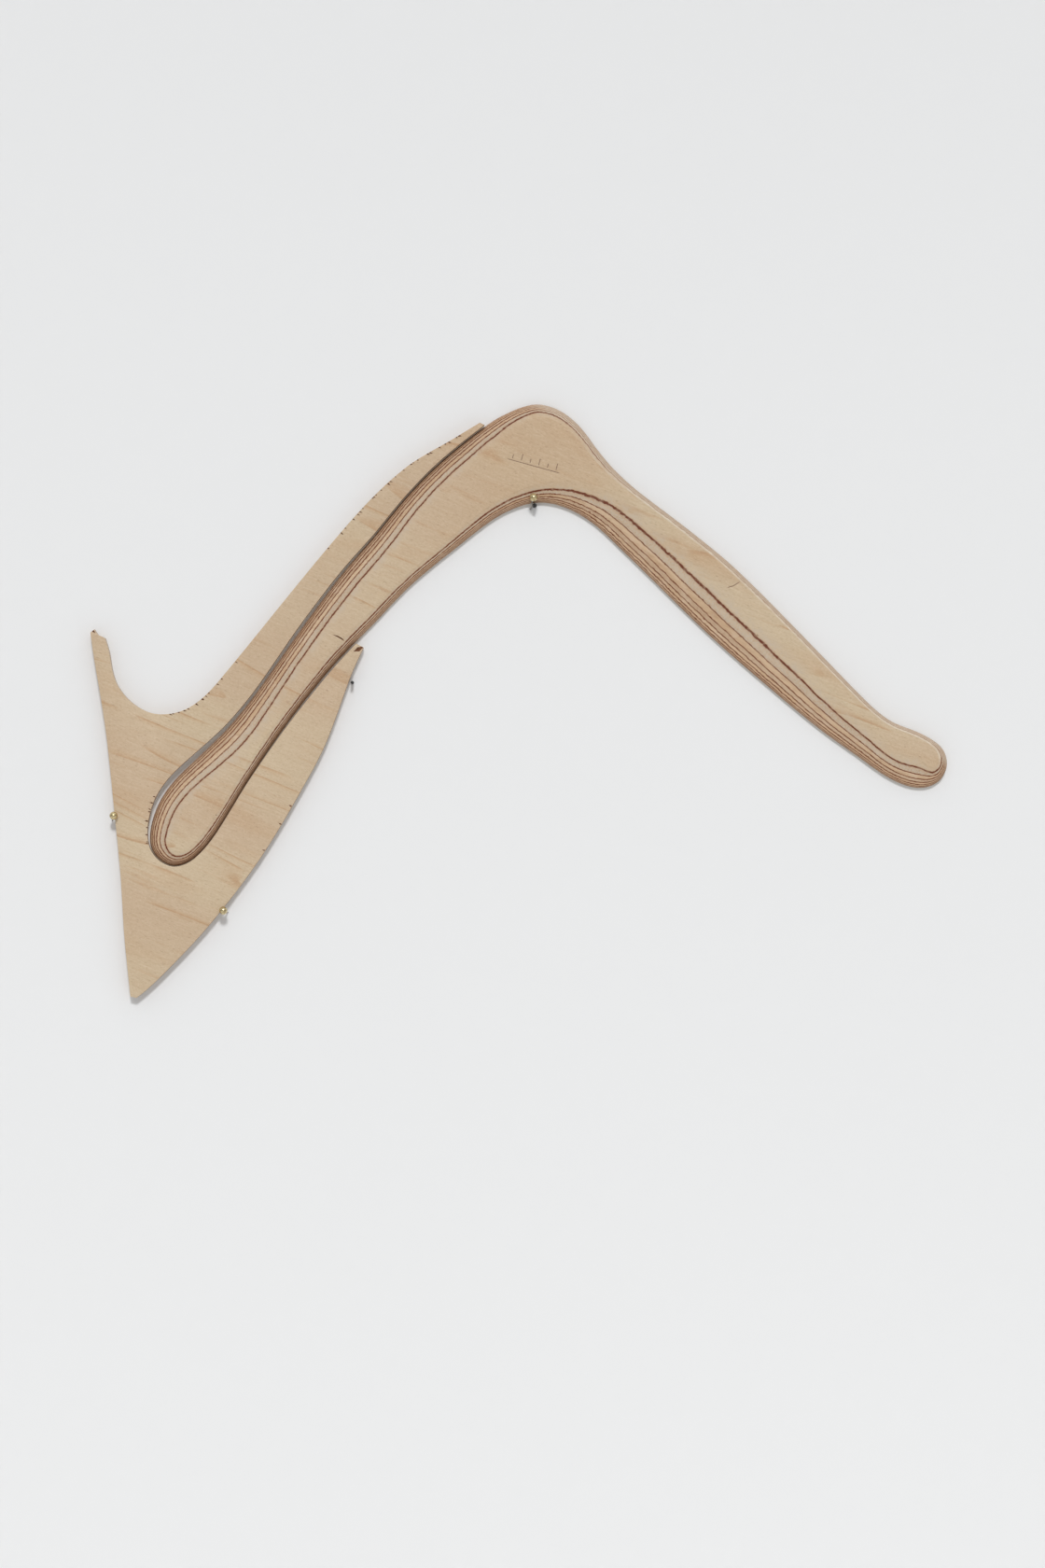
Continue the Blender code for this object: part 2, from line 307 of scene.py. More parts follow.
def add_groove(cutters, path, width, depth):
    """A tapered V-shaped groove along a path of (x, z) millimetres, as a closed cutter.

    The cutter's flat top stands clear of the face, and the groove narrows towards both ends.
    """
    points = [Vector((x, 0.0, z)) * MM for x, z in path]
    above = Vector((0.0, FACE_Y - 0.15 * depth * MM, 0.0))
    below = Vector((0.0, FACE_Y + depth * MM, 0.0))
    middle = (len(points) - 1) / 2
    first = cutters.verts.new(points[0] + above)
    last = cutters.verts.new(points[-1] + above)
    rings = []
    for index in range(1, len(points) - 1):
        along = (points[index + 1] - points[index - 1]).normalized()
        side = Vector((-along.z, 0.0, along.x)) * width * MM / 2
        fullness = 1.0 - 0.5 * (abs(index - middle) / max(1.0, middle)) ** 2
        left = cutters.verts.new(points[index] + above + side * fullness)
        right = cutters.verts.new(points[index] + above - side * fullness)
        rings.append((left, cutters.verts.new(points[index] + below), right))
    for a, b in zip(rings, rings[1:]):
        for step in range(3):
            after = (step + 1) % 3
            cutters.faces.new((a[step], a[after], b[after], b[step]))
    for step in range(3):
        after = (step + 1) % 3
        cutters.faces.new((first, rings[0][after], rings[0][step]))
        cutters.faces.new((last, rings[-1][step], rings[-1][after]))


def outline_between(ring, start, end):
    """The stretch of an outline between two places in millimetres, and its inward normals."""
    def nearest(place):
        target = Vector(place) * MM
        return min(range(len(ring)), key=lambda index: (ring[index] - target).length)
    first, last = sorted((nearest(start), nearest(end)))
    return ring[first:last + 1], inward_normals(ring)[first:last + 1]


def add_edge_tears(cutters, ring, start, end, count, longest, seed):
    """Short tears along the grain where the saw left an edge, scattered along part of an outline."""
    dice = random.Random(seed)
    stretch, normals = outline_between(ring, start, end)
    for number in range(count):
        place = int((number + dice.uniform(0.1, 0.9)) / count * (len(stretch) - 1))
        length = dice.uniform(0.4, 1.0) * longest
        into_wood = 1.0 if normals[place].x > 0.0 else -1.0
        point = stretch[place].lerp(stretch[place + 1], dice.random()) / MM
        swing = dice.uniform(-TEAR_SWING, TEAR_SWING)
        path = along_grain(point.x, point.y, into_wood * length, swing)
        back_x = (path[1][0] - path[0][0]) * TEAR_OUTSIDE
        back_z = (path[1][1] - path[0][1]) * TEAR_OUTSIDE
        path = [(x - back_x, z - back_z) for x, z in path]
        add_groove(cutters, path, dice.uniform(*TEAR_WIDTHS), TEAR_DEPTH)


def carve(piece, name, cutters, material):
    """Cuts the grooves out of a piece; their walls take the material."""
    bmesh.ops.recalc_face_normals(cutters, faces=cutters.faces)
    mesh = bpy.data.meshes.new(name)
    cutters.to_mesh(mesh)
    cutters.free()
    mesh.materials.append(material)
    cutter = bpy.data.objects.new(name, mesh)
    bpy.context.scene.collection.objects.link(cutter)
    modifier = piece.modifiers.new(name, "BOOLEAN")
    modifier.operation = "DIFFERENCE"
    modifier.solver = "EXACT"
    modifier.material_mode = "TRANSFER"
    modifier.use_self = True
    modifier.object = cutter
    evaluated = piece.evaluated_get(bpy.context.evaluated_depsgraph_get())
    result = bpy.data.meshes.new_from_object(evaluated)
    piece.modifiers.remove(modifier)
    piece.data = result
    result.set_sharp_from_angle(angle=CORNER)
    bpy.data.objects.remove(cutter)


def offcut_tears():
    """Torn stretches of the offcut's outline, then a chip off its right prong and one off its spike."""
    ring = smooth_ring(cap_ring("offcut_back_veneer", front=False))
    upper_edge = ((-112.0, -25.0), (-36.5, 38.0))
    notch_bottom = ((-154.0, -77.5), (-199.0, -112.5))
    round_left_tip = ((-204.0, -152.0), (-212.0, -184.0))
    lower_right_edge = ((-127.0, -152.0), (-150.0, -190.0))
    cutters = bmesh.new()
    add_edge_tears(cutters, ring, *upper_edge, count=30, longest=2.9, seed=11)
    add_edge_tears(cutters, ring, *notch_bottom, count=13, longest=3.4, seed=12)
    add_edge_tears(cutters, ring, *round_left_tip, count=9, longest=3.2, seed=13)
    add_edge_tears(cutters, ring, *lower_right_edge, count=3, longest=3.0, seed=14)
    add_groove(cutters, [(-97.4, -78.4), (-94.2, -77.0), (-90.5, -75.0)], width=2.8, depth=0.5)
    add_groove(cutters, [(-237.5, -66.0), (-236.2, -67.2), (-234.6, -68.6)], width=1.3, depth=0.5)
    return cutters


def boomerang_tears():
    """A gouge with a short tear below it, a tear near the left tip, and a nick on the right arm."""
    gouge = [(-108.6, -68.9), (-105.4, -70.1), (-102.8, -71.6), (-99.8, -74.6)]
    nick = [(117.6, -68.2), (119.2, -69.4), (121.0, -71.6)]
    cutters = bmesh.new()
    add_groove(cutters, gouge, width=0.85, depth=0.5)
    add_groove(cutters, along_grain(-106.4, -75.8, length=3.0, swing=8.0), width=0.6, depth=0.4)
    add_groove(cutters, along_grain(-171.2, -165.3, length=2.8, swing=4.0), width=0.5, depth=0.4)
    add_groove(cutters, nick, width=1.3, depth=0.75)
    return cutters


def pencil_marks():
    """A short curved stroke on the right arm, and a plain layout scale where the elbow is widest."""
    cutters = bmesh.new()
    left_half = [(100.8, -42.9), (101.4, -43.4), (103.4, -43.9)]
    right_half = [(106.2, -43.1), (109.2, -41.3), (109.8, -40.9)]
    add_groove(cutters, left_half + right_half, width=0.6, depth=PENCIL_DEPTH)

    def rule(start, end, taper):
        """A straight line, full width but for this share of it at each end."""
        shares = (0.0, taper, 1.0 - taper, 1.0)
        path = [tuple(start.lerp(end, share)) for share in shares]
        add_groove(cutters, path, PENCIL_WIDTH, PENCIL_DEPTH)

    left = Vector((-15.0, 25.0))
    right = Vector((14.0, 17.0))
    across = Vector((0.27, 0.96))
    rule(left, right, 0.05)
    for number in range(6):
        foot = left.lerp(right, 0.1 + 0.16 * number) + across * 0.8
        rule(foot, foot + across * (4.2 if number % 2 else 2.6), 0.15)
    return cutters


# --- materials --------------------------------------------------------------------------------

def linear(red, green, blue):
    """A colour given as 8-bit sRGB numbers, as the shader wants it."""
    def channel(value):
        value /= 255
        return value / 12.92 if value <= 0.04045 else ((value + 0.055) / 1.055) ** 2.4
    return (channel(red), channel(green), channel(blue), 1.0)


class Graph:
    """A material under construction; each method adds nodes and returns the socket that comes out."""

    def __init__(self, name):
        self.material = bpy.data.materials.new(name)
        self.material.use_nodes = True
        self.tree = self.material.node_tree
        self.shader = self.tree.nodes["Principled BSDF"]
        coordinates = self.node("ShaderNodeTexCoord")
        self.place = coordinates.outputs["Object"]
        self.normal = coordinates.outputs["Normal"]

    def node(self, kind, inputs=None, **settings):
        """A new node, with its settings made and its inputs linked or filled in."""
        made = self.tree.nodes.new(kind)
        for key, value in settings.items():
            setattr(made, key, value)
        for key, value in (inputs or {}).items():
            self.put(made.inputs[key], value)
        return made

    def put(self, socket, value):
        if isinstance(value, bpy.types.NodeSocket):
            self.tree.links.new(value, socket)
        else:
            socket.default_value = value

    def math(self, operation, *values):
        """The outcome of one Math node."""
        return self.node("ShaderNodeMath", dict(enumerate(values)), operation=operation).outputs[0]

    def grid(self, size, turn=0.0, shift=(0, 0, 0)):
        """Object coordinates counted in steps of size, turned about Y by so many degrees.

        The size is in metres: one number, or one for each axis.
        """
        inputs = {
            "Vector": self.place,
            "Location": shift,
            "Scale": size if isinstance(size, tuple) else (size, size, size),
            "Rotation": (0.0, math.radians(turn), 0.0),
        }
        return self.node("ShaderNodeMapping", inputs, vector_type="TEXTURE").outputs[0]

    def noise(self, size, turn=0.0, shift=(0, 0, 0), detail=2.0, roughness=0.5, distortion=0.0):
        """Cloudy noise of about this size, from 0 to 1."""
        inputs = {
            "Vector": self.grid(size, turn, shift),
            "Scale": 1.0,
            "Detail": detail,
            "Roughness": roughness,
            "Distortion": distortion,
        }
        return self.node("ShaderNodeTexNoise", inputs).outputs["Fac"]

    def fade(self, value, start, end, low=0.0, high=1.0):
        """low where value is at start, high where it is at end, and a smooth step in between."""
        inputs = {"Value": value, "From Min": start, "From Max": end, "To Min": low, "To Max": high}
        return self.node("ShaderNodeMapRange", inputs, interpolation_type="SMOOTHSTEP").outputs[0]

    def mix(self, share, a, b):
        """Colour a with so much of colour b over it."""
        inputs = {"Factor": share, 6: a, 7: b}
        return self.node("ShaderNodeMix", inputs, data_type="RGBA").outputs[2]

    def axis(self, letter):
        """One part of the place, in the object's own axes."""
        return self.node("ShaderNodeSeparateXYZ", {0: self.place}).outputs[letter]

    def facing(self, letter):
        """One part of the surface's unit normal, in the object's own axes."""
        return self.node("ShaderNodeSeparateXYZ", {0: self.normal}).outputs[letter]

    def bump(self, height, distance, strength, under=None):
        """A normal bent by the height, on top of the bump under it."""
        inputs = {"Height": height, "Distance": distance, "Strength": strength}
        if under is not None:
            inputs["Normal"] = under
        return self.node("ShaderNodeBump", inputs).outputs[0]

    def finish(self, colour, roughness, normal):
        """The material, with its colour, roughness and bumped normal on the shader."""
        self.shader.inputs["Specular IOR Level"].default_value = 0.25
        self.put(self.shader.inputs["Base Color"], colour)
        self.put(self.shader.inputs["Roughness"], roughness)
        self.put(self.shader.inputs["Normal"], normal)
        return self.material


GLUE_BROWN = linear(98, 40, 19)
GLUE_STAIN = linear(176, 132, 92)
LINE_HALF_WIDTH = 0.34 * MM  # of a glue line as it looks from the front
FIRST_LINE_EXTRA = 0.66 * MM  # what the first line gains, times how heavy it is
THINNEST_LINE = 0.03 * MM  # half the depth a line takes up, on the flattest cut
THICKEST_LINE = 0.13 * MM  # and on the steepest
UPRIGHT = 0.05  # the cosine below which a cut counts as square to the face


def depth_below_face(g):
    """How far behind the face a point lies."""
    return g.math("SUBTRACT", g.axis("Y"), FACE_Y)


def slant_of_cut(g):
    """How steeply the wood is cut here: the tangent of the angle between surface and face."""
    cosine = g.math("ABSOLUTE", g.facing("Y"))
    # 1.0001 rather than 1, so that rounding leaves nothing negative under the root
    sine = g.math("SQRT", g.math("SUBTRACT", 1.0001, g.math("MULTIPLY", cosine, cosine)))
    return g.math("DIVIDE", sine, g.math("MAXIMUM", cosine, UPRIGHT))


def facing_up_right(g):
    """How far a surface faces up and to the right, towards the key light, where the edges get a painted
    sheen.
    """
    inputs = {0: g.normal, 1: (0.66, -0.34, 0.67)}
    return g.node("ShaderNodeVectorMath", inputs, operation="DOT_PRODUCT").outputs["Value"]


def glue_lines(g, depth):
    """Two masks: the dark core of the nearest glue line, and the stain along it.

    The lines wander most on the right arm's bevel, and its first line, just below the face, is torn
    open and heavy. Their width in depth goes with the slant, so they look alike from the front.
    """
    slant = slant_of_cut(g)
    ragged = g.noise(1.6 * MM, detail=3.0, roughness=0.6)
    drift = g.noise(7.0 * MM, shift=(0.1, 0.2, 0.3))
    past_elbow = g.fade(g.axis("X"), -5.0 * MM, 35.0 * MM, 0.45, 1.0)
    before_tip = g.fade(g.axis("X"), 165.0 * MM, 120.0 * MM, 0.5, 1.0)
    torn = g.math("MULTIPLY", past_elbow, before_tip)
    jitter = g.math("MULTIPLY", g.math("SUBTRACT", ragged, 0.5), 1.7 * MM)
    wander = g.math("MULTIPLY", g.math("SUBTRACT", drift, 0.5), 0.6 * MM)
    loose = g.math("MULTIPLY", torn, g.math("MINIMUM", slant, 0.5))
    strayed = g.math("MULTIPLY", loose, g.math("ADD", jitter, wander))
    count = g.math("DIVIDE", g.math("ADD", depth, strayed), PITCH)
    nearest = g.math("ROUND", count)
    gap = g.math("MULTIPLY", g.math("ABSOLUTE", g.math("SUBTRACT", count, nearest)), PITCH)
    above_back = g.math("LESS_THAN", nearest, len(VENEERS) - 0.5)
    real = g.math("MULTIPLY", g.math("GREATER_THAN", nearest, 0.5), above_back)
    first = g.math("LESS_THAN", nearest, 1.5)
    heavy = g.math("MULTIPLY", first, g.math("MULTIPLY_ADD", torn, 0.95, -0.15))
    half_width = g.math("ADD", LINE_HALF_WIDTH, g.math("MULTIPLY", heavy, FIRST_LINE_EXTRA))
    reach = g.math("MAXIMUM", g.math("MULTIPLY", half_width, slant), THINNEST_LINE)
    distance = g.math("DIVIDE", gap, g.math("MINIMUM", reach, THICKEST_LINE))
    patchy = g.noise(2.2 * MM, shift=(0.6, 0.6, 0.6), detail=3.0)
    inked = g.math("MULTIPLY", real, g.fade(patchy, 0.32, 0.55, 0.65, 1.0))
    core = g.math("MULTIPLY", inked, g.fade(distance, 1.15, 0.7))
    stain = g.math("MULTIPLY", real, g.fade(distance, 2.4, 0.8))
    # painted light: the line cores fade to half where the cut faces up and to the right, under the
    # painted sheen
    painted_sheen_weight = g.fade(facing_up_right(g), 0.5, 0.75, 1.0, 0.5)
    return g.math("MULTIPLY", core, painted_sheen_weight), stain


def edge_sheen_shade_and_fray(g, colour, depth):
    """Painted light on the edges: a painted sheen where they face up and to the right, and painted shade,
    with some dirt, where they face down.

    A broken pale line, a painted highlight, follows the right arm just below the face, and the left tip's
    underside is frayed and painted dark, partly as shade.
    """
    facing = facing_up_right(g)
    below = g.fade(g.facing("Z"), -0.25, -0.80)
    breakup_noise = g.noise(0.003, detail=3.0, shift=(0.2, 0.9, 0.4))
    # painted sheen: paler where the edge faces up and to the right, towards the light, broken up by noise
    upper = g.math("MULTIPLY", g.fade(facing, 0.50, 0.78), g.fade(breakup_noise, 0.3, 0.6, 0.6, 0.9))
    colour = g.mix(upper, colour, linear(200, 188, 170))
    # painted highlight: a broken pale line just below the face on the right arm, where it faces the light
    top = g.fade(depth, 0.04 * MM, 0.15 * MM)
    under_face = g.math("MULTIPLY", top, g.fade(depth, 0.6 * MM, 0.3 * MM))
    right_arm = g.fade(g.axis("X"), 30.0 * MM, 60.0 * MM)
    broken = g.math("MULTIPLY", right_arm, g.fade(breakup_noise, 0.45, 0.62, 0.05, 0.45))
    painted_sheen_weight = g.math("MULTIPLY", g.math("MULTIPLY", under_face, broken), g.fade(facing, 0.40, 0.55))
    colour = g.mix(painted_sheen_weight, colour, linear(218, 206, 187))
    # painted shade with some dirt: slightly darker where edges face down, more so towards the back
    shade_and_dirt_below = g.math("MULTIPLY", below, g.fade(depth, 0.8 * MM, 5.0 * MM, 0.0, 0.08))
    colour = g.mix(shade_and_dirt_below, colour, linear(150, 118, 90))
    # the left tip's underside near the back: frayed end grain, partly painted shade where it faces down
    tip = g.math("MULTIPLY", below, g.fade(g.axis("X"), -184.0 * MM, -190.0 * MM))
    near_back = g.math("MULTIPLY", tip, g.fade(depth, 2.2 * MM, 4.2 * MM))
    frayed_and_shaded = g.math("MULTIPLY", near_back, g.fade(breakup_noise, 0.40, 0.58))
    return g.mix(g.math("MULTIPLY", frayed_and_shaded, 0.6), colour, linear(98, 66, 46))


def cut_edge(g, colour, depth):
    """The colour with what saw and rasp left on an edge: painted sheen and shade with some dirt and fray,
    and glue lines over them.
    """
    colour = edge_sheen_shade_and_fray(g, colour, depth)
    core, stain = glue_lines(g, depth)
    colour = g.mix(g.math("MULTIPLY", stain, 0.35), colour, GLUE_STAIN)
    return g.mix(g.math("MULTIPLY", core, 0.95), colour, GLUE_BROWN)


def face_figure(g, colour):
    """Birch figure on a flat-cut face: soft bands, cathedral lines, fibres and short pores.

    Every layer is stretched along the grain, and the elbow is a little browner than the arms.
    """
    cloud = g.noise((0.16, 0.16, 0.045), GRAIN_FALL, (0.3, 0.1, 0.2), detail=1.0)
    colour = g.mix(g.fade(cloud, 0.35, 0.65), colour, linear(198, 179, 151))
    past_left_arm = g.fade(g.axis("X"), -75.0 * MM, -5.0 * MM)
    before_right_arm = g.fade(g.axis("X"), 70.0 * MM, 20.0 * MM)
    elbow = g.math("MULTIPLY", past_left_arm, before_right_arm)
    colour = g.mix(g.math("MULTIPLY", elbow, 0.5), colour, linear(190, 163, 132))
    tan = g.noise((0.10, 0.10, 0.018), GRAIN_FALL, (0.9, 0.4, 0.0), detail=2.0)
    colour = g.mix(g.fade(tan, 0.50, 0.72, 0.0, 0.6), colour, linear(189, 160, 129))
    streak = g.noise((0.042, 0.042, 0.0034), GRAIN_FALL, (0.3, 0.8, 0.1), detail=2.0, roughness=0.45)
    colour = g.mix(g.fade(streak, 0.60, 0.76, 0.0, 0.5), colour, linear(184, 150, 117))
    hills = g.noise((0.30, 0.30, 0.034), GRAIN_FALL + 2.0, (0.12, 0.0, 0.34), detail=1.2, distortion=0.12)
    rings = g.math("FRACT", g.math("MULTIPLY", hills, 12.0))
    soft = g.math("MULTIPLY", g.fade(rings, 0.45, 0.95), g.fade(rings, 1.0, 0.96))
    line = g.math("MULTIPLY", g.fade(rings, 0.80, 0.93), g.fade(rings, 1.0, 0.96))
    patch = g.fade(g.noise((0.040, 0.040, 0.016), GRAIN_FALL, (0.5, 0.5, 0.5)), 0.46, 0.64)
    soft_share = g.math("MULTIPLY", g.math("MULTIPLY", soft, patch), 0.45)
    line_share = g.math("MULTIPLY", g.math("MULTIPLY", line, patch), 0.55)
    colour = g.mix(soft_share, colour, linear(188, 154, 118))
    colour = g.mix(line_share, colour, linear(176, 138, 102))
    fibre = g.noise((0.008, 0.008, 0.0009), GRAIN_FALL, detail=4.0, roughness=0.65)
    colour = g.mix(g.fade(fibre, 0.42, 0.72, 0.0, 0.20), colour, linear(172, 146, 117))
    colour = g.mix(g.fade(fibre, 0.50, 0.30, 0.0, 0.18), colour, linear(212, 195, 170))
    speckle = g.noise((0.0012, 0.0012, 0.0007), GRAIN_FALL, (0.7, 0.1, 0.4), detail=3.0, roughness=0.7)
    colour = g.mix(g.fade(speckle, 0.52, 0.70, 0.0, 0.30), colour, linear(170, 142, 114))
    colour = g.mix(g.fade(speckle, 0.46, 0.30, 0.0, 0.25), colour, linear(216, 200, 176))
    pores = g.noise((0.0024, 0.0024, 0.0004), GRAIN_FALL, (0.2, 0.2, 0.2), detail=1.0)
    colour = g.mix(g.fade(pores, 0.60, 0.78, 0.0, 0.40), colour, linear(138, 108, 82))
    return colour, fibre, pores


def birch_face_material():
    """The outermost veneers: figured on the flat, sanded greyer where the face runs out to the edge."""
    g = Graph("birch_face")
    depth = depth_below_face(g)
    colour, fibre, pores = face_figure(g, linear(193, 170, 143))
    sanded = g.fade(depth, 0.01 * MM, 0.45 * MM)
    breakup_noise = g.noise(0.004, detail=4.0, roughness=0.7)
    grey = g.math("MULTIPLY", sanded, g.fade(breakup_noise, 0.4, 0.65, 0.15, 0.85))
    colour = g.mix(grey, colour, linear(190, 174, 154))
    colour = cut_edge(g, colour, depth)
    rough = g.fade(fibre, 0.3, 0.7, 0.50, 0.62)
    normal = g.bump(fibre, 0.05 * MM, 0.35)
    normal = g.bump(pores, -0.04 * MM, 0.4, normal)
    return g.finish(colour, rough, normal)


def birch_core_material(name, tone, warm, fleck_size):
    """A veneer seen on its cut edge: along its fibres, or across them as end grain.

    Down to the second glue line the wood is rasped greyish.
    """
    g = Graph(name)
    depth = depth_below_face(g)
    layer = g.noise((0.05, 0.0006, 0.05), detail=1.0)
    colour = g.mix(g.fade(layer, 0.35, 0.65), tone, warm)
    fleck = g.noise(fleck_size, GRAIN_FALL, detail=3.0, roughness=0.65)
    colour = g.mix(g.fade(fleck, 0.42, 0.75, 0.0, 0.35), colour, linear(146, 108, 78))
    pale = g.noise(0.006, detail=2.0, shift=(0.4, 0.1, 0.7))
    colour = g.mix(g.fade(pale, 0.52, 0.72, 0.0, 0.35), colour, linear(206, 186, 164))
    rasped = g.noise(0.0009, detail=3.0, roughness=0.7, shift=(0.3, 0.3, 0.8))
    shallow = g.fade(depth, 2.1 * PITCH, 1.9 * PITCH)
    greyed = g.math("MULTIPLY", shallow, g.fade(rasped, 0.40, 0.62, 0.15, 0.85))
    colour = g.mix(greyed, colour, linear(188, 176, 158))
    colour = cut_edge(g, colour, depth)
    saw = g.noise((0.0009, 0.02, 0.0009), detail=1.0, shift=(0.6, 0.0, 0.0))
    normal = g.bump(fleck, 0.06 * MM, 0.4)
    normal = g.bump(saw, 0.08 * MM, 0.3, normal)
    return g.finish(colour, g.fade(fleck, 0.3, 0.7, 0.56, 0.70), normal)


def torn_material():
    """Dark broken fibres in a tear."""
    g = Graph("torn_wood")
    fibre = g.noise((0.002, 0.002, 0.0003), GRAIN_FALL, detail=3.0)
    colour = g.mix(g.fade(fibre, 0.35, 0.65), linear(80, 50, 34), linear(128, 86, 60))
    return g.finish(colour, 0.8, g.bump(fibre, 0.08 * MM, 0.8))


def graphite_material():
    """Pencil that has skipped over the grain."""
    g = Graph("pencil_graphite")
    broken = g.noise(0.0005, detail=3.0, roughness=0.7)
    colour = g.mix(g.fade(broken, 0.38, 0.62), linear(118, 96, 79), linear(150, 124, 101))
    return g.finish(colour, g.fade(broken, 0.3, 0.7, 0.45, 0.6), g.bump(broken, 0.02 * MM, 0.5))


def brass_material():
    """Polished brass, clouded and finely scratched."""
    g = Graph("brass_polished")
    cloudy = g.noise(0.0016, detail=3.0)
    colour = g.mix(g.fade(cloudy, 0.45, 0.7), linear(214, 198, 156), linear(162, 144, 108))
    scratch = g.noise((0.0020, 0.0002, 0.0002), 30.0, detail=2.0)
    g.shader.inputs["Metallic"].default_value = 1.0
    return g.finish(colour, g.fade(cloudy, 0.3, 0.7, 0.16, 0.30), g.bump(scratch, 0.01 * MM, 0.2))


def steel_material(name, tone, dark, rough, metallic):
    """Drawn wire, mottled between two tones."""
    g = Graph(name)
    mottled = g.noise(0.0011, detail=4.0, roughness=0.6)
    colour = g.mix(g.fade(mottled, 0.35, 0.7), tone, dark)
    drawn = g.noise((0.0003, 0.004, 0.0003), detail=2.0)
    g.shader.inputs["Metallic"].default_value = metallic
    return g.finish(colour, g.fade(mottled, 0.3, 0.7, rough, rough + 0.15), g.bump(drawn, 0.02 * MM, 0.4))


# --- pins and nails ---------------------------------------------------------------------------

TURN_STEPS = 48
TURNED_CORNER = math.radians(38.0)
END_SPREAD = 0.35 * MM  # a leaning shank's end face lies within this much of its furthest point
SHANK_RADIUS = 0.4 * MM
POINT_LENGTH = 2.6 * MM  # of a shank or nail
NAIL_ROUND = 0.06 * MM  # how far the edge of a nail's front end is rounded in


def end_centre(node, front):
    """The middle of a turned part's end, at the wall side or the front."""
    low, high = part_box(node)
    level = low.y if front else high.y
    near = [v.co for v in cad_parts[node].data.vertices if abs(v.co.y - level) < END_SPREAD]
    return sum(near, Vector()) / len(near)


def turned_mesh(name, start, end, profile):
    """A closed solid turned about the line from start to end; profile is (radius, distance) pairs.

    Distances run from start towards end. The first and last points close the ends on the axis.
    """
    axis = (end - start).normalized()
    frame_turn = axis.to_track_quat("Z", "Y").to_matrix().to_4x4()
    solid = bmesh.new()
    rings = []
    for radius, distance in profile[1:-1]:
        ring = []
        for step in range(TURN_STEPS):
            angle = math.tau * step / TURN_STEPS
            ring.append(solid.verts.new((radius * math.cos(angle), radius * math.sin(angle), distance)))
        rings.append(ring)
    foot = solid.verts.new((0.0, 0.0, profile[0][1]))
    tip = solid.verts.new((0.0, 0.0, profile[-1][1]))
    for step in range(TURN_STEPS):
        after = (step + 1) % TURN_STEPS
        solid.faces.new((foot, rings[0][after], rings[0][step]))
        for lower, upper in zip(rings, rings[1:]):
            solid.faces.new((lower[step], lower[after], upper[after], upper[step]))
        solid.faces.new((rings[-1][step], rings[-1][after], tip))
    for face in solid.faces:
        face.smooth = True
    solid.transform(Matrix.Translation(start) @ frame_turn)
    bmesh.ops.recalc_face_normals(solid, faces=solid.faces)
    mesh = bpy.data.meshes.new(name)
    solid.to_mesh(mesh)
    solid.free()
    mesh.set_sharp_from_angle(angle=TURNED_CORNER)
    return mesh


def ball_profile(radius):
    """A ball with the small flat and rim where its shank goes in."""
    steps = 26
    flat = -0.955 * radius
    points = [(0.0, flat), (0.20 * radius, flat)]
    for step in range(steps):
        angle = math.radians(-72.0) + math.radians(160.0) * step / (steps - 1)
        points.append((radius * math.cos(angle), radius * math.sin(angle)))
    return points + [(0.0, radius)]


def add_ball_pin(name, brass, steel):
    """A brass ball with its flat where the shank goes in, and the pointed shank."""
    ball = f"{name}_ball"
    shank = f"{name}_shank"
    low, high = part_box(ball)
    centre = (low + high) / 2
    radius = (high - low).x / 2
    point = end_centre(shank, front=False)
    head = end_centre(shank, front=True)
    axis = (head - point).normalized()
    mesh = turned_mesh(f"{ball}_fine", centre, centre + axis, ball_profile(radius))
    add_piece(f"{ball}_fine", mesh, brass, "pins", "brass", ball)
    length = (head - point).length
    profile = [
        (0.0, 0.0),
        (0.15 * SHANK_RADIUS, 0.0),
        (0.55 * SHANK_RADIUS, 1.2 * MM),
        (SHANK_RADIUS, POINT_LENGTH),
        (SHANK_RADIUS, length * 0.5),
        (SHANK_RADIUS, length),
        (0.0, length),
    ]
    mesh = turned_mesh(f"{shank}_fine", point, head, profile)
    add_piece(f"{shank}_fine", mesh, steel, "pins", "pin_steel", shank)


def add_nail(name, material):
    """A headless nail: pointed at the wall end and a little rounded in front."""
    low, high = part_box(name)
    radius = (high - low).x / 2
    foot = Vector(((low.x + high.x) / 2, high.y, (low.z + high.z) / 2))
    top = Vector((foot.x, low.y, foot.z))
    length = (top - foot).length
    profile = [
        (0.0, 0.0),
        (0.12 * radius, 0.0),
        (radius, POINT_LENGTH),
        (radius, length - 0.5 * MM),
        (radius - NAIL_ROUND / 2, length - 0.22 * MM),
        (radius - 2 * NAIL_ROUND, length - 0.05 * MM),
        (radius * 0.6, length - 0.02 * MM),
        (radius * 0.3, length),
        (0.0, length),
    ]
    mesh = turned_mesh(f"{name}_fine", foot, top, profile)
    add_piece(f"{name}_fine", mesh, material, "pins", "black_steel", name)


# --- stage ------------------------------------------------------------------------------------

VIEW_CENTRE = Vector((-0.0065, 0.0, -0.149))  # the place in the middle of the picture
VIEW_HEIGHT = 0.84  # how much of the wall it takes in
CAMERA_DISTANCE = 2.8
SENSOR = 36.0
FLOOR_DROP = 0.15  # how far the floor lies below the picture
ROOM_HALF = 3.0
WALL_HEIGHT = 3.2


def add_camera():
    """A camera straight in front of the wall."""
    data = bpy.data.cameras.new("camera")
    data.sensor_width = SENSOR
    data.lens = SENSOR * CAMERA_DISTANCE / VIEW_HEIGHT
    camera = bpy.data.objects.new("camera", data)
    camera.location = VIEW_CENTRE + Vector((0.0, -CAMERA_DISTANCE, 0.0))
    camera.rotation_euler = (math.pi / 2, 0.0, 0.0)
    bpy.context.scene.collection.objects.link(camera)
    bpy.context.scene.camera = camera


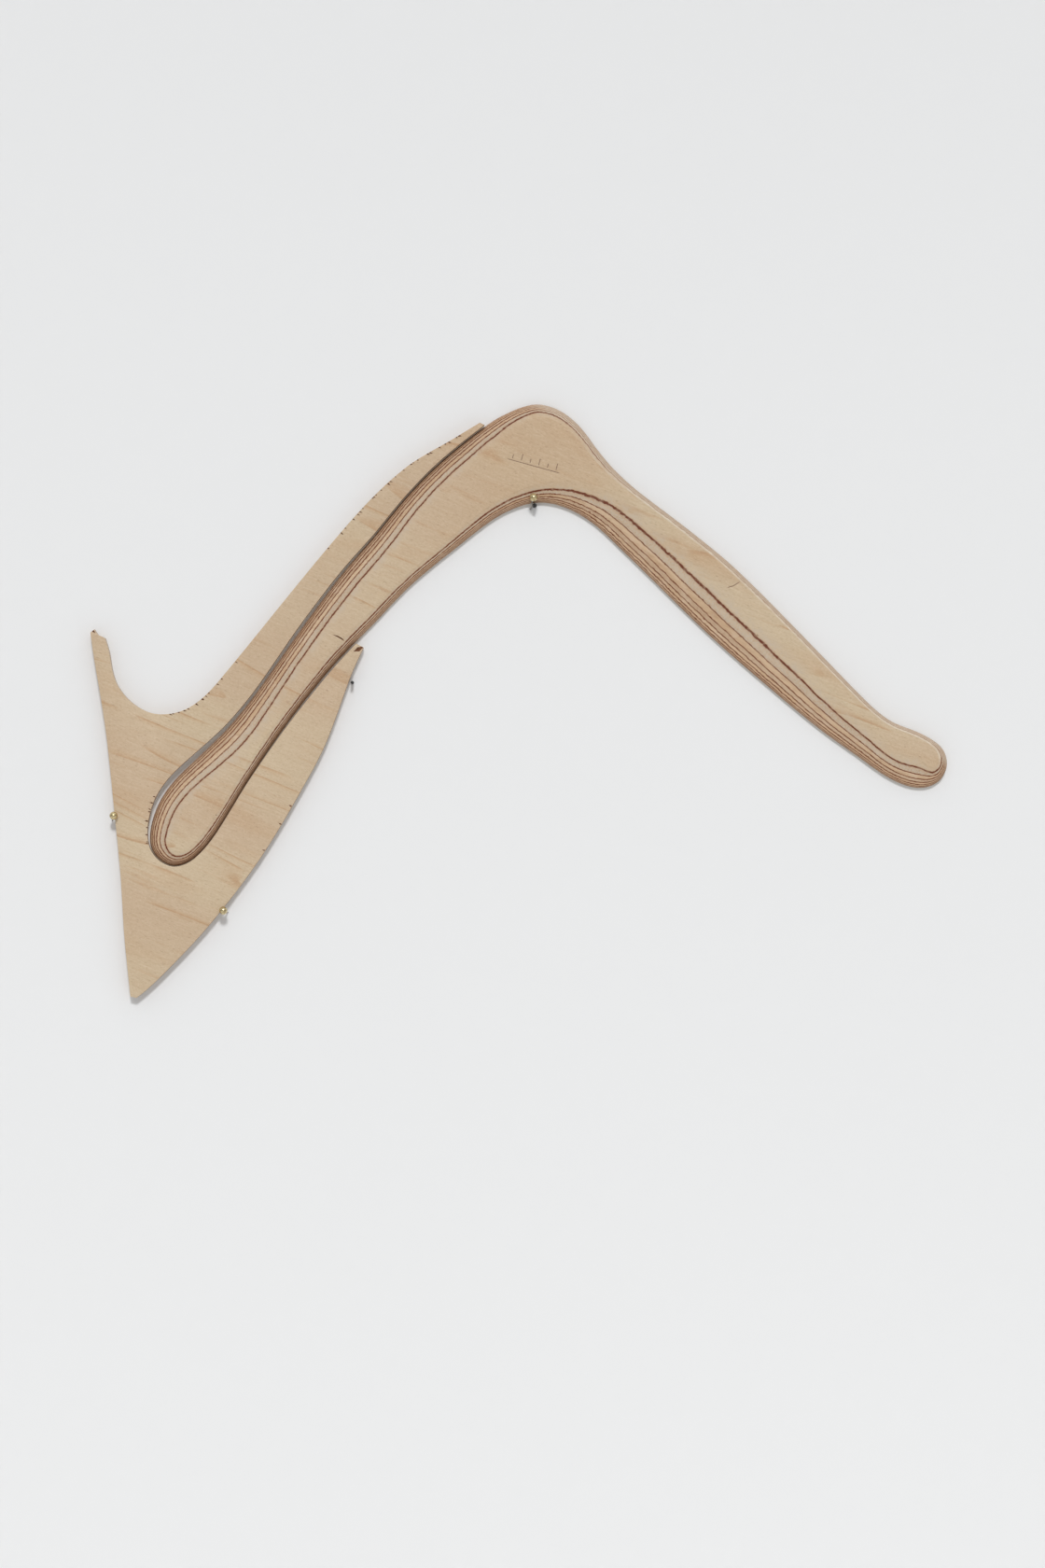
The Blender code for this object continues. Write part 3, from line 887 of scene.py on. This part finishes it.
def add_broad_light(name, source, softness, strength):
    """Even light from one direction, such as a wide softbox far away gives."""
    data = bpy.data.lights.new(name, "SUN")
    data.angle = math.radians(softness)
    data.energy = strength
    light = bpy.data.objects.new(name, data)
    light.location = source
    light.rotation_euler = (-source).to_track_quat("-Z", "Y").to_euler()
    bpy.context.scene.collection.objects.link(light)


def add_world(high, low):
    """A white room, brighter overhead than underfoot."""
    world = bpy.data.worlds.new("studio")
    world.use_nodes = True
    tree = world.node_tree
    direction = tree.nodes.new("ShaderNodeTexCoord")
    parts = tree.nodes.new("ShaderNodeSeparateXYZ")
    height = tree.nodes.new("ShaderNodeMapRange")
    height.inputs["From Min"].default_value = -0.6
    height.inputs["From Max"].default_value = 0.9
    height.inputs["To Min"].default_value = low
    height.inputs["To Max"].default_value = high
    tree.links.new(direction.outputs["Generated"], parts.inputs[0])
    tree.links.new(parts.outputs["Z"], height.inputs["Value"])
    tree.links.new(height.outputs[0], tree.nodes["Background"].inputs["Strength"])
    tree.nodes["Background"].inputs["Color"].default_value = (1.0, 1.0, 1.0, 1.0)
    bpy.context.scene.world = world


def paint_material(name, tone, one_way=False):
    """Matt paint with a faint roller texture; one_way lets a camera behind the wall see through."""
    g = Graph(name)
    stipple = g.noise(0.0022, detail=2.0)
    patch = g.noise(0.6, detail=1.0)
    shade = tuple(0.985 * part for part in tone[:3]) + (1.0,)
    colour = g.mix(g.fade(patch, 0.3, 0.7, 0.0, 0.5), tone, shade)
    material = g.finish(colour, 0.85, g.bump(stipple, 0.02 * MM, 0.15))
    if one_way:
        backfacing = g.node("ShaderNodeNewGeometry").outputs["Backfacing"]
        clear = g.node("ShaderNodeBsdfTransparent").outputs[0]
        inputs = {0: backfacing, 1: g.shader.outputs[0], 2: clear}
        mixed = g.node("ShaderNodeMixShader", inputs).outputs[0]
        g.tree.links.new(mixed, g.tree.nodes["Material Output"].inputs["Surface"])
    return material


def add_panel(name, corners, material):
    """One flat face of the stage."""
    mesh = bpy.data.meshes.new(name)
    mesh.from_pydata(corners, [], [tuple(range(len(corners)))])
    mesh.materials.append(material)
    panel = bpy.data.objects.new(name, mesh)
    bpy.context.scene.collection.objects.link(panel)
    return panel


def add_stage():
    """The wall and floor, a soft key light from above, a light for views from behind, and the room."""
    floor_z = VIEW_CENTRE.z - VIEW_HEIGHT / 2 - FLOOR_DROP
    top_z = floor_z + WALL_HEIGHT
    wall = add_panel(
        "wall",
        [
            (-ROOM_HALF, WALL_GAP, floor_z),
            (ROOM_HALF, WALL_GAP, floor_z),
            (ROOM_HALF, WALL_GAP, top_z),
            (-ROOM_HALF, WALL_GAP, top_z),
        ],
        paint_material("wall_paint", linear(230, 231, 232), one_way=True),
    )
    wall.visible_shadow = False
    add_panel(
        "floor",
        [
            (-ROOM_HALF, -ROOM_HALF, floor_z),
            (ROOM_HALF, -ROOM_HALF, floor_z),
            (ROOM_HALF, ROOM_HALF, floor_z),
            (-ROOM_HALF, ROOM_HALF, floor_z),
        ],
        paint_material("floor_paint", linear(212, 211, 209)),
    )
    add_broad_light("key", source=Vector((0.10, -2.4, 1.32)), softness=9.0, strength=1.46)
    add_broad_light("back", source=Vector((-0.9, 2.0, 1.0)), softness=30.0, strength=1.0)
    add_world(high=0.88, low=0.0)
    bpy.context.scene.view_settings.view_transform = "Standard"


# --- assembly ---------------------------------------------------------------------------------

def main():
    """Builds the object, the stage and the camera."""
    materials = {
        "birch_face": birch_face_material(),
        "birch_long_grain": birch_core_material(
            "birch_long_grain",
            tone=linear(192, 163, 132),
            warm=linear(201, 175, 146),
            fleck_size=(0.012, 0.0004, 0.0012),
        ),
        "birch_cross_grain": birch_core_material(
            "birch_cross_grain",
            tone=linear(184, 157, 130),
            warm=linear(193, 169, 143),
            fleck_size=(0.0010, 0.0010, 0.0024),
        ),
    }
    boomerang_face = add_veneers("boomerang", boomerang_rings(), bevel_levels, materials)
    offcut_face = add_veneers("offcut", offcut_rings(), arris_levels, materials)
    torn = torn_material()
    carve(boomerang_face, "boomerang_tears", boomerang_tears(), torn)
    carve(boomerang_face, "pencil_marks", pencil_marks(), graphite_material())
    carve(offcut_face, "offcut_tears", offcut_tears(), torn)
    brass = brass_material()
    pin_steel = steel_material(
        "pin_steel_wire",
        tone=linear(176, 172, 166),
        dark=linear(140, 136, 130),
        rough=0.30,
        metallic=1.0,
    )
    black = steel_material(
        "nail_black_oxide",
        tone=linear(62, 62, 62),
        dark=linear(34, 34, 35),
        rough=0.45,
        metallic=0.6,
    )
    for name in ("elbow_pin", "left_pin", "lower_pin"):
        add_ball_pin(name, brass, pin_steel)
    for name in ("elbow_nail", "right_nail"):
        add_nail(name, black)
    add_stage()
    add_camera()


main()
